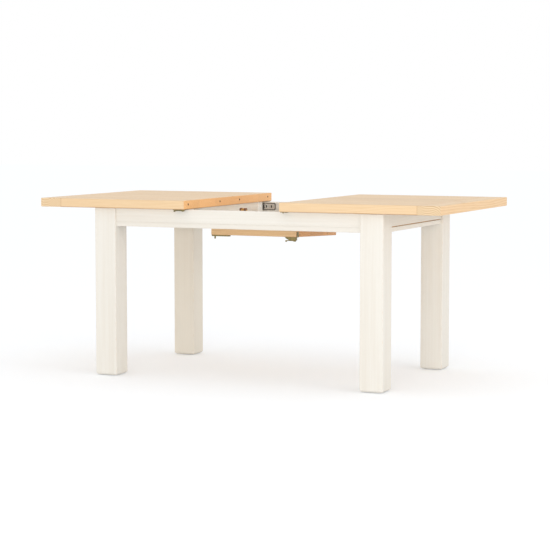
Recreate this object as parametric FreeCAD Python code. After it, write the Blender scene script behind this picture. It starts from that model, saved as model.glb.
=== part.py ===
import FreeCAD, Part
import os
from math import sqrt

os.makedirs("parts", exist_ok=True)
Vector = FreeCAD.Vector

# All lengths are in millimetres. X runs along the table, Y across it, Z up, with the origin on the
# floor under the middle of the table. The halves stand open and the leaf lies folded under the gap.

# Table top
table_height = 770
table_width = 900
half_length = 700
top_thickness = 38
breadboard_width = 100
boards_across = 6
edge_round = 3
edge_arris = 1.5
board_vee = 1
end_tongue_length = 12
end_tongue_thickness = 10
end_tongue_stop = 24

# Folding leaf
leaf_length = 400
leaf_thickness = 27
leaf_play = 20
leaf_lift = 2
leaf_hang_angle = 2.3
closed_gap = 0.5
fold_gap = 0.5

# Frame
leg_side = 101
leg_foot_chamfer = 7
end_overhang = 33
side_overhang = 28.5
apron_height = 77
apron_thickness = 24
apron_setback = 7.5
top_gap = 2
tenon_length = 32
tenon_thickness = 10
tenon_shoulder = 9
rail_height = 18
rail_tenon_height = 8
rail_tenon_shoulder = 3
reveal_height = 4
reveal_tongue_thickness = 8
reveal_tongue_depth = 6
quirk_height = 19
quirk_width = 2
quirk_depth = 1.5

# Clearances and cutting allowance
glue_gap = 0.1
running_gap = 0.3
pin_gap = 0.05
overrun = 5

# Corner braces
brace_gap = 4
brace_thickness = 26
brace_height = 22
brace_lift = 2

# Glides nailed under the legs and slide pads let into the top of the aprons
foot_glide_side = 40
foot_glide_height = 3
foot_glide_chamfer = 1
foot_nail_width = 4
foot_nail_length = 16
pad_length = 40
pad_width = 10
pad_depth = 3
long_pad_shares = (0.43, 0.71)
end_pad_share = 0.36

# Bearers, pivot and stops of the leaf
bearer_gap = 26
bearer_width = 36
bearer_height = 20
bearer_housing = 8
pivot_radius = 5
pivot_head = 3
pivot_collar_flats = 25
pivot_half = 11
pivot_rise = 15
pivot_clip = 4
pivot_cheek = 7
pivot_overhang = 12
pivot_base_length = 44
pivot_base_height = 12
arm_thickness = 7
arm_inset = 1
arm_foot_length = 80
arm_foot_height = 8
arm_waist_height = 26
stop_length = 20
stop_lap = 14
stop_height = 14
stop_drop = 6

# Battens under the halves
batten_width = 50
batten_height = 50
batten_inset = 13
batten_leg_gap = 7
cross_batten_width = 50
cross_batten_height = 14
cross_batten_end_gap = 20

# Ball-bearing runners
runner_inset = 61.6
runner_leg_gap = 34.65
runner_depth = 13
runner_height = 36
runner_drop = 5
runner_sheet = 1.2
runner_lip = 2.4
ball_space = 3.3
retainer_width = 6
retainer_end_gap = 8
slot_length = 12
slot_width = 6
slot_shares = (0.28, 0.816, 0.917)

# Dowels in the meeting edges
dowel_radius = 4
dowel_hole_gap = 0.3
dowel_drop = 17
dowel_reach = 10
dowel_seat = 24
dowel_inset = 42
dowel_middle = 100

# Fold hinges of the leaf
hinge_shares = (-0.34, 0.34)
hinge_plate_length = 34
hinge_plate_width = 14
hinge_plate_depth = 7
link_width = 18
link_radius = 2.4
link_waist = 2.2

# Latches, straps and keepers
latch_side_inset = 18
latch_inset = 14
latch_plate_length = 52
latch_plate_width = 26
latch_plate_thickness = 2
latch_edge_gap = 2
latch_drop = 3
stud_radius = 3
stud_head_flats = 10
stud_head_height = 2
stud_head_sides = 6
boss_width = 18
lever_thickness = 3
lever_reach = 40
lever_width = 14
lever_clip = 4
lever_tab_drop = 4
lever_tab_thickness = 2
hook_play = 0.8
keeper_inset = 10
keeper_length = 30
keeper_post_width = 5
keeper_post_lift = 0.5
keeper_pad_length = 78
keeper_pad_drop = 4
strap_length = 55
strap_round = 4
strap_top_margin = 4
wedge_width = 18
wedge_sheet = 2
wedge_flat_share = 0.55
wedge_tip_share = 0.3

# Levels and places that follow from the sizes above
half_width = table_width / 2
top_bottom = table_height - top_thickness
frame_top = top_bottom - top_gap
apron_bottom = frame_top - apron_height
leg_outer_x = half_length - end_overhang
leg_outer_y = half_width - side_overhang
leg_inner_x = leg_outer_x - leg_side
leg_inner_y = leg_outer_y - leg_side
long_apron_outer = leg_outer_y - apron_setback
long_apron_inner = long_apron_outer - apron_thickness
end_apron_outer = leg_outer_x - apron_setback
end_apron_inner = end_apron_outer - apron_thickness
end_board_bottom = apron_bottom + rail_height + reveal_height

leaf_end = leaf_length / 2
open_edge = leaf_end + leaf_play
outer_end = open_edge + half_length
breadboard_joint = outer_end - breadboard_width
board_width = table_width / boards_across
leaf_bottom = table_height - leaf_thickness
back_panel_face = apron_bottom + leaf_lift - leaf_thickness
front_panel_face = back_panel_face - fold_gap
stored_fold_y = table_width / 4
pivot_y = table_width / 8
pivot_z = (back_panel_face + table_height) / 2
leaf_rise = table_height - front_panel_face

bearer_inner = leaf_end + bearer_gap
bearer_outer = bearer_inner + bearer_width
bearer_top = apron_bottom + bearer_height
arm_outer = leaf_end - arm_inset
arm_inner = arm_outer - arm_thickness
cheek_inner = bearer_inner - pivot_overhang
cheek_outer = cheek_inner + pivot_cheek
batten_outer_y = long_apron_inner - runner_depth
batten_inner_y = batten_outer_y - batten_width
batten_bottom = top_bottom - batten_height
runner_top = top_bottom - runner_drop
runner_middle_z = runner_top - runner_height / 2
slide_travel = open_edge - closed_gap / 2
middle_travel = slide_travel / 2
runner_length = leg_inner_x - runner_leg_gap - slide_travel - runner_inset
outer_web_y = long_apron_inner
middle_web_y = outer_web_y - runner_sheet - 2 * running_gap
inner_web_y = batten_outer_y
outer_start = -(runner_inset + runner_length)
middle_start = outer_start - middle_travel
inner_start = outer_start - slide_travel
middle_height = runner_height - 2 * (runner_sheet + ball_space)
inner_height = middle_height - 2 * (runner_sheet + ball_space)
outer_depth = runner_depth - runner_sheet - 2 * running_gap
middle_depth = middle_web_y - batten_outer_y - runner_sheet - running_gap
inner_depth = middle_web_y - runner_sheet - 2 * running_gap - inner_web_y
dowel_z = table_height - dowel_drop
dowel_ys = (-half_width + dowel_inset, -dowel_middle, dowel_middle, half_width - dowel_inset)
front_dowel_ys = dowel_ys[:2]
latch_y = -(half_width - latch_side_inset)
lever_top = top_bottom - latch_drop - running_gap
lever_bottom = lever_top - lever_thickness
stud_head_top = lever_bottom - running_gap
hook_radius = latch_inset + keeper_inset + closed_gap / 2


# Shape helpers

def box(xs, ys, zs):
    corner = Vector(min(xs), min(ys), min(zs))
    return Part.makeBox(abs(xs[1] - xs[0]), abs(ys[1] - ys[0]), abs(zs[1] - zs[0]), corner)


def prism(points, direction):
    return Part.Face(Part.makePolygon(points + points[:1])).extrude(direction)


def rod(start, direction, radius, length):
    return Part.makeCylinder(radius, length, start, direction)


def hex_prism(start, direction, across_flats, height):
    side = direction.cross(Vector(0, 1, 1)).normalize()
    points = []
    for step in range(stud_head_sides):
        spoke = FreeCAD.Rotation(direction, step * 360 / stud_head_sides).multVec(side)
        points.append(start + spoke * (across_flats / sqrt(3)))
    return prism(points, direction * height)


def across_x(shape):
    return shape.mirror(Vector(0, 0, 0), Vector(1, 0, 0))


def across_y(shape):
    return shape.mirror(Vector(0, 0, 0), Vector(0, 1, 0))


def four_corners(shape):
    pair = [shape, across_x(shape)]
    return pair + [across_y(one) for one in pair]


def edges_where(shape, test):
    """Edges whose every vertex passes the test."""
    return [edge for edge in shape.Edges if all(test(vertex.Point) for vertex in edge.Vertexes)]


def near(value, target):
    return abs(value - target) < glue_gap / 2


def export(name, *shapes):
    solids = [solid for shape in shapes for solid in shape.Solids]
    whole = solids[0] if len(solids) == 1 else Part.makeCompound(solids)
    whole.exportStep(f"parts/{name}.step")


# Frame: legs, aprons, braces and glides

def long_tenon(gap):
    middle = (long_apron_inner + long_apron_outer) / 2
    half = tenon_thickness / 2 + gap
    return box(
        (leg_inner_x - gap, leg_inner_x + tenon_length + gap),
        (middle - half, middle + half),
        (apron_bottom + tenon_shoulder - gap, frame_top - tenon_shoulder + gap),
    )


def end_tenon(low, high, gap):
    middle = (end_apron_inner + end_apron_outer) / 2
    half = tenon_thickness / 2 + gap
    return box(
        (middle - half, middle + half),
        (leg_inner_y - gap, leg_inner_y + tenon_length + gap),
        (low - gap, high + gap),
    )


def end_board_tenon(gap):
    return end_tenon(end_board_bottom + tenon_shoulder, frame_top - tenon_shoulder, gap)


def end_rail_tenon(gap):
    low = apron_bottom + rail_tenon_shoulder
    return end_tenon(low, low + rail_tenon_height, gap)


def leg_middle(z):
    return Vector((leg_inner_x + leg_outer_x) / 2, (leg_inner_y + leg_outer_y) / 2, z)


def foot_nail(gap):
    middle = leg_middle(foot_glide_height)
    half = foot_nail_width / 2 + gap
    return box(
        (middle.x - half, middle.x + half),
        (middle.y - half, middle.y + half),
        (middle.z, middle.z + foot_nail_length + gap),
    )


def leg():
    post = box((leg_inner_x, leg_outer_x), (leg_inner_y, leg_outer_y), (foot_glide_height, frame_top))
    foot = post.makeChamfer(leg_foot_chamfer, edges_where(post, lambda p: near(p.z, foot_glide_height)))
    upright = [edge for edge in post.Edges if not near(edge.Vertexes[0].Z, edge.Vertexes[1].Z)]
    post = post.makeFillet(edge_round, upright).common(foot)
    joints = [long_tenon(glue_gap), end_board_tenon(glue_gap), end_rail_tenon(glue_gap)]
    return post.cut(joints + [foot_nail(glue_gap)])


def foot_glide():
    middle = leg_middle(0)
    half = foot_glide_side / 2
    pad = box(
        (middle.x - half, middle.x + half), (middle.y - half, middle.y + half), (0, foot_glide_height)
    )
    pad = pad.makeChamfer(foot_glide_chamfer, edges_where(pad, lambda p: near(p.z, 0)))
    return pad.fuse(foot_nail(0))


def long_apron_pads():
    middle = (long_apron_inner + long_apron_outer) / 2
    pads = []
    for share in long_pad_shares:
        start = share * half_length
        pads.append(box(
            (start, start + pad_length),
            (middle - pad_width / 2, middle + pad_width / 2),
            (frame_top - pad_depth, top_bottom - running_gap),
        ))
    return pads + [across_x(pad) for pad in pads]


def end_apron_pads():
    middle = (end_apron_inner + end_apron_outer) / 2
    start = end_pad_share * half_width
    pad = box(
        (middle - pad_width / 2, middle + pad_width / 2),
        (start, start + pad_length),
        (frame_top - pad_depth, top_bottom - running_gap),
    )
    return [pad, across_y(pad)]


def bearer_housing_cut():
    return box(
        (bearer_inner - glue_gap, bearer_outer + glue_gap),
        (long_apron_inner - overrun, long_apron_inner + bearer_housing + glue_gap),
        (apron_bottom - overrun, bearer_top + glue_gap),
    )


def long_apron():
    board = box((-leg_inner_x, leg_inner_x), (long_apron_inner, long_apron_outer), (apron_bottom, frame_top))
    lower = edges_where(board, lambda p: near(p.z, apron_bottom) and near(p.y, long_apron_outer))
    board = board.makeChamfer(edge_arris, lower)
    board = board.fuse([long_tenon(0), across_x(long_tenon(0))]).removeSplitter()
    quirk_low = apron_bottom + quirk_height
    quirk = box(
        (-leg_inner_x, leg_inner_x),
        (long_apron_outer - quirk_depth, long_apron_outer + overrun),
        (quirk_low, quirk_low + quirk_width),
    )
    housings = [bearer_housing_cut(), across_x(bearer_housing_cut())]
    return board.cut([quirk] + housings + long_apron_pads())


def reveal_tongue(gap):
    middle = (end_apron_inner + end_apron_outer) / 2
    half = reveal_tongue_thickness / 2 + gap
    low = apron_bottom + rail_height - reveal_tongue_depth - gap
    high = end_board_bottom + reveal_tongue_depth + gap
    return box((middle - half, middle + half), (-leg_inner_y, leg_inner_y), (low, high))


def end_board():
    board = box((end_apron_inner, end_apron_outer), (-leg_inner_y, leg_inner_y), (end_board_bottom, frame_top))
    board = board.fuse([end_board_tenon(0), across_y(end_board_tenon(0))]).removeSplitter()
    return board.cut([reveal_tongue(glue_gap)] + end_apron_pads())


def end_rail():
    high = apron_bottom + rail_height
    rail = box((end_apron_inner, end_apron_outer), (-leg_inner_y, leg_inner_y), (apron_bottom, high))
    lower = edges_where(rail, lambda p: near(p.z, apron_bottom) and near(p.x, end_apron_outer))
    rail = rail.makeChamfer(edge_arris, lower)
    rail = rail.fuse([end_rail_tenon(0), across_y(end_rail_tenon(0))]).removeSplitter()
    return rail.cut(reveal_tongue(glue_gap))


def corner_brace():
    near_sum = leg_inner_x + leg_inner_y - brace_gap * sqrt(2)
    far_sum = near_sum - brace_thickness * sqrt(2)
    low = apron_bottom + brace_lift
    outline = [
        Vector(near_sum - long_apron_inner, long_apron_inner, low),
        Vector(end_apron_inner, near_sum - end_apron_inner, low),
        Vector(end_apron_inner, far_sum - end_apron_inner, low),
        Vector(far_sum - long_apron_inner, long_apron_inner, low),
    ]
    return prism(outline, Vector(0, 0, brace_height))


# Leaf bearers with the pivot blocks, pins and stops, all for the right-hand end

def hung(shape):
    """Shape of the level stored leaf, turned about the pivot to hang with its front edge a little up."""
    return shape.rotated(Vector(0, pivot_y, pivot_z), Vector(1, 0, 0), -leaf_hang_angle)


def leaf_bearer():
    reach = long_apron_inner + bearer_housing
    return box((bearer_inner, bearer_outer), (-reach, reach), (apron_bottom, bearer_top))


def clipped_plate(base, x, thickness):
    """Plate standing across X about the pivot with clipped top corners: base lists (half width, z) from the
    foot up to where the plate takes its width at the pivot."""
    high = pivot_z + pivot_rise
    crown = [(pivot_half, high - pivot_clip), (pivot_half - pivot_clip, high)]
    left = [Vector(x, pivot_y - reach, z) for reach, z in base + crown]
    right = [Vector(x, 2 * pivot_y - point.y, point.z) for point in reversed(left)]
    return prism(left + right, Vector(thickness, 0, 0))


def pivot_axis_rod(low, high, radius):
    return rod(Vector(low, pivot_y, pivot_z), Vector(1, 0, 0), radius, high - low)


def pivot_block():
    """Foot on the bearer, reaching inwards past it, with a cheek at its inner end that holds the pin."""
    half = pivot_base_length / 2
    foot_top = bearer_top + pivot_base_height
    foot = box((cheek_inner, bearer_outer), (pivot_y - half, pivot_y + half), (bearer_top, foot_top))
    cheek = clipped_plate([(half, bearer_top), (half, foot_top), (pivot_half, pivot_z)], cheek_inner, pivot_cheek)
    bore = pivot_axis_rod(cheek_inner - overrun, cheek_outer + overrun, pivot_radius)
    return foot.fuse(cheek).removeSplitter().cut(bore)


def pivot_pin():
    """Pin through the arm and the cheek, with a six-sided collar that keeps them apart."""
    pin = pivot_axis_rod(arm_inner, cheek_outer + pivot_head, pivot_radius)
    start = arm_outer + running_gap
    collar = hex_prism(
        Vector(start, pivot_y, pivot_z), Vector(1, 0, 0), pivot_collar_flats, cheek_inner - start
    )
    return pin.fuse(collar).removeSplitter()


def leaf_stop():
    """Block on the bearer that reaches in over the hanging leaf's back edge and is cut to its slope."""
    panel_top = back_panel_face + leaf_thickness
    low = panel_top - stop_drop
    high = bearer_top + stop_height
    inner = leaf_end - stop_lap
    flank = bearer_inner - glue_gap
    start_y = stored_fold_y - fold_gap - stop_length
    outline = [
        Vector(bearer_outer, start_y, bearer_top),
        Vector(bearer_outer, start_y, high),
        Vector(inner, start_y, high),
        Vector(inner, start_y, low),
        Vector(flank, start_y, low),
        Vector(flank, start_y, bearer_top),
    ]
    panel = box(
        (0, bearer_outer + overrun),
        (start_y - overrun, start_y + stop_length + overrun),
        (back_panel_face, panel_top + running_gap),
    )
    return prism(outline, Vector(0, stop_length, 0)).cut(hung(panel))


# Table top halves, worked out for the left half standing open

def eased(slab, axis, rounded):
    """Slab with the edges along its other level axis eased: rounded on top at the places listed, else chamfered."""
    def along(edge):
        ends = edge.Vertexes
        return near(ends[0].Z, ends[1].Z) and near(ends[0].Point[axis], ends[1].Point[axis])

    def on_top(edge):
        point = edge.Vertexes[0].Point
        return near(point.z, table_height) and any(near(point[axis], place) for place in rounded)

    chamfered = slab.makeChamfer(edge_arris, [e for e in slab.Edges if along(e) and not on_top(e)])
    show = [e for e in chamfered.Edges if along(e) and on_top(e)]
    return chamfered.makeFillet(edge_round, show) if show else chamfered


def eased_slab(xs, ys, zs, rounded_xs, rounded_ys):
    slab = box(xs, ys, zs)
    return eased(slab, 0, rounded_xs).common(eased(slab, 1, rounded_ys))


def vee_along_x(x_low, x_high, y):
    outline = [
        Vector(x_low, y - board_vee, table_height),
        Vector(x_low, y + board_vee, table_height),
        Vector(x_low, y, table_height - board_vee),
    ]
    return prism(outline, Vector(x_high - x_low, 0, 0))


def vee_along_y(x):
    outline = [
        Vector(x - board_vee, -half_width, table_height),
        Vector(x + board_vee, -half_width, table_height),
        Vector(x, -half_width, table_height - board_vee),
    ]
    return prism(outline, Vector(0, table_width, 0))


def half_slab():
    sides = (-half_width, half_width)
    slab = eased_slab((-outer_end, -open_edge), sides, (top_bottom, table_height), (-outer_end,), sides)
    joints = [-half_width + count * board_width for count in range(1, boards_across)]
    vees = [vee_along_x(-breadboard_joint, -open_edge, y) for y in joints]
    return slab.cut(vees + [vee_along_y(-breadboard_joint)])


def end_tongue(gap):
    middle = (top_bottom + table_height) / 2
    half = end_tongue_thickness / 2 + gap
    reach = half_width - end_tongue_stop + gap
    far = breadboard_joint + end_tongue_length + gap
    return box((-far, -breadboard_joint), (-reach, reach), (middle - half, middle + half))


def half_boards():
    field = half_slab().cut(box((-outer_end, -breadboard_joint), (-half_width, half_width), (0, table_height)))
    field = field.fuse(end_tongue(0)).removeSplitter()
    boards = []
    for count in range(boards_across):
        low = -half_width + count * board_width
        strip = box((-outer_end, -open_edge), (low, low + board_width), (top_bottom, table_height))
        boards.append(field.common(strip))
    return boards


def breadboard():
    end = half_slab().common(
        box((-outer_end, -breadboard_joint), (-half_width, half_width), (top_bottom, table_height))
    )
    return end.cut(end_tongue(glue_gap))


def dowel(x, y, reach, seat, gap, toward):
    """Round dowel or its hole: seat is its length behind the edge at x, reach its length beyond it."""
    start = Vector(x - toward * seat, y, dowel_z)
    return rod(start, Vector(toward, 0, 0), dowel_radius + gap, seat + reach)


def dowel_holes(x, ys, toward):
    depth = dowel_reach + overrun
    return [dowel(x, y, 0, depth, dowel_hole_gap, toward) for y in ys]


def dowel_sockets(x, ys, toward):
    return [dowel(x, y, 0, dowel_seat, 0, toward) for y in ys]


def dowels(x, ys, toward):
    return [dowel(x, y, dowel_reach, dowel_seat, 0, toward) for y in ys]


def batten():
    ends = (-(leg_inner_x - batten_leg_gap), -(open_edge + batten_inset))
    bar = box(ends, (batten_inner_y, batten_outer_y), (batten_bottom, top_bottom))
    lower = edges_where(bar, lambda p: near(p.z, batten_bottom))
    return bar.makeChamfer(edge_round, lower)


def cross_batten():
    start = -(leg_inner_x - batten_leg_gap - cross_batten_end_gap)
    return box(
        (start, start + cross_batten_width),
        (-batten_inner_y, batten_inner_y),
        (top_bottom - cross_batten_height, top_bottom),
    )


# Runners, worked out for the left half at the back

def channel(x_low, web_y, toward, depth, height):
    """Lipped channel along X with its web at web_y and its flanges pointing toward -1 or +1 in Y."""
    low = runner_middle_z - height / 2
    high = runner_middle_z + height / 2
    mouth = web_y + toward * depth
    ends = (x_low, x_low + runner_length)
    full = box(ends, (web_y, mouth), (low, high))
    hollow = box(
        (x_low - overrun, ends[1] + overrun),
        (web_y + toward * runner_sheet, mouth - toward * runner_sheet),
        (low + runner_sheet, high - runner_sheet),
    )
    inset = runner_sheet + runner_lip
    opening = box(
        (x_low - overrun, ends[1] + overrun),
        (web_y + toward * runner_sheet, mouth + toward * overrun),
        (low + inset, high - inset),
    )
    return full.cut([hollow, opening])


def web_slots(x_low, web_y, toward):
    """Upright slots pierced through a channel's web."""
    through = (web_y - toward * overrun, web_y + toward * (runner_sheet + overrun))
    half = slot_length / 2
    slots = []
    for share in slot_shares:
        middle = x_low + share * runner_length
        ends = (middle - slot_width / 2, middle + slot_width / 2)
        slots.append(box(ends, through, (runner_middle_z - half, runner_middle_z + half)))
    return slots


def runner_outer():
    return channel(outer_start, outer_web_y, -1, outer_depth, runner_height).cut(
        web_slots(outer_start, outer_web_y, -1)
    )


def ball_retainer(flange_z, upward):
    """Strip of the ball cage that runs on one flange of the middle channel."""
    centre = middle_web_y - middle_depth / 2
    thickness = ball_space - 2 * running_gap
    return box(
        (middle_start + retainer_end_gap, middle_start + runner_length - retainer_end_gap),
        (centre - retainer_width / 2, centre + retainer_width / 2),
        (flange_z, flange_z + upward * thickness),
    )


def runner_middle():
    bar = channel(middle_start, middle_web_y, -1, middle_depth, middle_height)
    bar = bar.cut(web_slots(middle_start, middle_web_y, -1))
    cages = []
    for side in (1, -1):
        flange = runner_middle_z + side * middle_height / 2
        cages.append(ball_retainer(flange, side))
        cages.append(ball_retainer(flange - side * runner_sheet, -side))
    return [bar] + cages


def runner_inner():
    bar = box(
        (inner_start, inner_start + runner_length),
        (inner_web_y, inner_web_y + inner_depth),
        (runner_middle_z - inner_height / 2, runner_middle_z + inner_height / 2),
    )
    hollow = box(
        (inner_start - overrun, inner_start + runner_length + overrun),
        (inner_web_y + runner_sheet, inner_web_y + inner_depth + overrun),
        (runner_middle_z - inner_height / 2 + runner_sheet, runner_middle_z + inner_height / 2 - runner_sheet),
    )
    return bar.cut([hollow] + web_slots(inner_start, inner_web_y, 1))


# Leaf panels, worked out for the front panel laid flat in the gap

def stow_front(shape):
    return hung(shape.translated(Vector(0, stored_fold_y, -leaf_rise)))


def stow_back(shape):
    return hung(across_y(shape).rotated(Vector(0, pivot_y, pivot_z), Vector(1, 0, 0), 180))


def hinge_places():
    return [share * leaf_length for share in hinge_shares]


def hinge_seat(x):
    edge = -fold_gap / 2
    half = hinge_plate_length / 2
    return box(
        (x - half, x + half),
        (edge - hinge_plate_width, edge),
        (table_height - hinge_plate_depth, table_height),
    )


def hinge_plate(x):
    """Plate let into the fold edge, bored along the edge for one knuckle of the link."""
    edge = -fold_gap / 2
    pin_y = edge - edge_round
    pin_z = table_height - edge_round
    plate = hinge_seat(x)
    nose = edges_where(plate, lambda p: near(p.y, edge) and near(p.z, table_height))
    plate = plate.makeFillet(edge_round, nose)
    half = link_width / 2 + running_gap
    bore = rod(Vector(x - half, pin_y, pin_z), Vector(1, 0, 0), link_radius + pin_gap, 2 * half)
    room = link_waist / 2 + running_gap
    mouth = box((x - half, x + half), (pin_y - room, edge + overrun), (pin_z - room, table_height + overrun))
    return plate.cut([bore, mouth])


def fold_link(x):
    """Link with a round knuckle on each edge, standing upright between the panels folded level."""
    pin_y = stored_fold_y - fold_gap / 2 - edge_round
    high = back_panel_face + edge_round
    low = front_panel_face - edge_round
    start = x - link_width / 2
    waist = box((start, start + link_width), (pin_y - link_waist / 2, pin_y + link_waist / 2), (low, high))
    knuckles = [rod(Vector(start, pin_y, z), Vector(1, 0, 0), link_radius, link_width) for z in (low, high)]
    return waist.fuse(knuckles).removeSplitter()


def strap_seat():
    """Shallow recess in the leaf's right-hand end that takes a strap flush."""
    half = latch_plate_width / 2
    return box(
        (leaf_end - latch_plate_thickness, leaf_end),
        (latch_y - half, latch_y + half),
        (leaf_bottom, table_height - strap_top_margin),
    )


def leaf_panel():
    edge = -fold_gap / 2
    sides = (-half_width, edge)
    slab = eased_slab((-leaf_end, leaf_end), sides, (leaf_bottom, table_height), (), sides)
    joints = [-half_width + count * board_width for count in range(1, boards_across // 2)]
    tools = [vee_along_x(-leaf_end, leaf_end, y) for y in joints]
    tools += dowel_sockets(-leaf_end, front_dowel_ys, -1)
    tools += dowel_holes(leaf_end, front_dowel_ys, 1)
    tools += [hinge_seat(x) for x in hinge_places()]
    tools += [strap_seat(), across_x(strap_seat())]
    slab = slab.cut(tools)
    boards = []
    for count in range(boards_across // 2):
        low = -half_width + count * board_width
        strip = box((-leaf_end, leaf_end), (low, low + board_width), (leaf_bottom, table_height))
        boards.append(slab.common(strip))
    return boards


def leaf_arm():
    """Right-hand arm on the back panel, in its place above the leaf folded level."""
    seat = back_panel_face + leaf_thickness
    half_foot = arm_foot_length / 2
    base = [(half_foot, seat), (half_foot, seat + arm_foot_height), (pivot_half, seat + arm_waist_height)]
    plate = clipped_plate(base, arm_inner, arm_thickness)
    return plate.cut(pivot_axis_rod(arm_inner - overrun, arm_outer + overrun, pivot_radius + pin_gap))


# Latches and keepers, worked out for the front side

def stud(x, high):
    """Vertical stud below the height high: neck for a lever to turn on, then a six-sided head."""
    down = Vector(0, 0, -1)
    root = high + latch_plate_thickness
    neck = rod(Vector(x, latch_y, root), down, stud_radius, root - stud_head_top)
    return neck.fuse(hex_prism(Vector(x, latch_y, stud_head_top), down, stud_head_flats, stud_head_height))


def keeper_post(x, high):
    half = keeper_post_width / 2
    return box((x - half, x + half), (latch_y - half, latch_y + half), (lever_bottom + keeper_post_lift, high))


def flat_plate(x_from, x_to, seat):
    half = latch_plate_width / 2
    return box((x_from, x_to), (latch_y - half, latch_y + half), (seat - latch_plate_thickness, seat))


def half_latch_base():
    """Plate and stud under the left half, near its inner edge."""
    edge = -(open_edge + latch_edge_gap)
    plate = flat_plate(edge - latch_plate_length, edge, top_bottom)
    pivot_x = -(open_edge + latch_inset)
    half = boss_width / 2
    low = top_bottom - latch_drop
    boss = box((pivot_x - half, pivot_x + half), (latch_y - half, latch_y + half), (low, top_bottom))
    return plate.fuse([boss, stud(pivot_x, low)]).removeSplitter()


def lever(pivot_x):
    """Hook lever lying under its base, pointing to -X, with a finger tab turned down at the tip."""
    hub = Vector(pivot_x, latch_y, lever_bottom)
    up = Vector(0, 0, 1)
    half = lever_width / 2
    tip = pivot_x - lever_reach
    heel = pivot_x + half
    arm = box((tip, heel), (latch_y - half, latch_y + half), (lever_bottom, lever_top))
    upright = [e for e in edges_where(arm, lambda p: near(p.x, heel)) if near(e.Vertexes[0].Y, e.Vertexes[1].Y)]
    arm = arm.makeChamfer(lever_clip, upright)
    tab = box(
        (tip, tip + lever_tab_thickness),
        (latch_y - half, latch_y + half),
        (lever_bottom - lever_tab_drop, lever_top),
    )
    arm = arm.fuse(tab).removeSplitter()
    bore = rod(hub - up * overrun, up, stud_radius + pin_gap, lever_thickness + 2 * overrun)
    hook_x = pivot_x - hook_radius
    room = keeper_post_width / 2 + hook_play
    throat = box(
        (hook_x - room, hook_x + room),
        (latch_y - half - overrun, latch_y + room),
        (lever_bottom - overrun, lever_top + overrun),
    )
    return arm.cut([bore, throat])


def half_keeper():
    edge = open_edge + latch_edge_gap
    plate = flat_plate(edge, edge + keeper_length, top_bottom)
    post = keeper_post(open_edge + keeper_inset, top_bottom - latch_plate_thickness)
    return plate.fuse(post).removeSplitter()


def leaf_strap():
    """Strap let into the leaf's right-hand end and turned under it."""
    upright = strap_seat()
    lip_low = leaf_bottom - latch_plate_thickness
    half = latch_plate_width / 2
    lip = box((leaf_end - strap_length, leaf_end), (latch_y - half, latch_y + half), (lip_low, leaf_bottom))
    strap = upright.fuse(lip).removeSplitter()
    heel = edges_where(strap, lambda p: near(p.x, leaf_end) and near(p.z, lip_low))
    return strap.makeFillet(strap_round, heel)


def leaf_latch_base():
    """Strap with a pressed wedge under it that carries the lever's stud level with the halves' latches."""
    lip_low = leaf_bottom - latch_plate_thickness
    low = top_bottom - latch_drop
    back = leaf_end - strap_round - latch_edge_gap
    flat = back - wedge_flat_share * strap_length
    tip = leaf_end - strap_length + latch_edge_gap
    toe = lip_low - wedge_tip_share * (lip_low - low)
    start = latch_y - wedge_width / 2
    outline = [
        Vector(back, start, lip_low),
        Vector(back, start, low),
        Vector(flat, start, low),
        Vector(tip, start, toe),
        Vector(tip, start, lip_low),
    ]
    wedge = prism(outline, Vector(0, wedge_width, 0))
    pocket = box(
        (tip + wedge_sheet, back - wedge_sheet),
        (start + wedge_sheet, start + wedge_width - wedge_sheet),
        (toe + wedge_sheet, lip_low),
    )
    pivot = stud(leaf_end - latch_inset, low)
    return leaf_strap().fuse([wedge.cut(pocket), pivot]).removeSplitter()


def leaf_keeper():
    strap = across_x(leaf_strap())
    half = latch_plate_width / 2
    pad_bottom = leaf_bottom - latch_plate_thickness - keeper_pad_drop
    pad = box(
        (-leaf_end, -leaf_end + keeper_pad_length), (latch_y - half, latch_y + half), (pad_bottom, leaf_bottom)
    )
    post = keeper_post(-(leaf_end - keeper_inset), pad_bottom)
    return strap.fuse([pad, post]).removeSplitter()


# Frame nodes
post = leg()
export("leg_back_right", post)
export("leg_back_left", across_x(post))
export("leg_front_right", across_y(post))
export("leg_front_left", across_x(across_y(post)))
export("back_apron", long_apron())
export("front_apron", across_y(long_apron()))
export("end_apron_right", end_board())
export("end_apron_left", across_x(end_board()))
export("end_rail_right", end_rail())
export("end_rail_left", across_x(end_rail()))
export("reveal_tongues", reveal_tongue(0), across_x(reveal_tongue(0)))
export("corner_braces", *four_corners(corner_brace()))
export("foot_glides", *four_corners(foot_glide()))
slide_pads = long_apron_pads() + [across_y(pad) for pad in long_apron_pads()]
slide_pads += end_apron_pads() + [across_x(pad) for pad in end_apron_pads()]
export("slide_pads", *slide_pads)
export("leaf_bearer_right", leaf_bearer())
export("leaf_bearer_left", across_x(leaf_bearer()))
export("pivot_blocks", pivot_block(), across_x(pivot_block()))
export("pivot_pins", pivot_pin(), across_x(pivot_pin()))
export("leaf_stops", leaf_stop(), across_x(leaf_stop()))

# Runner nodes, one pair to each half
outer_pair = [runner_outer(), across_y(runner_outer())]
middle_pair = runner_middle() + [across_y(piece) for piece in runner_middle()]
inner_pair = [runner_inner(), across_y(runner_inner())]
export("runner_outers_left", *outer_pair)
export("runner_middles_left", *middle_pair)
export("runner_inners_left", *inner_pair)
export("runner_outers_right", *[across_x(piece) for piece in outer_pair])
export("runner_middles_right", *[across_x(piece) for piece in middle_pair])
export("runner_inners_right", *[across_x(piece) for piece in inner_pair])

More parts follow.
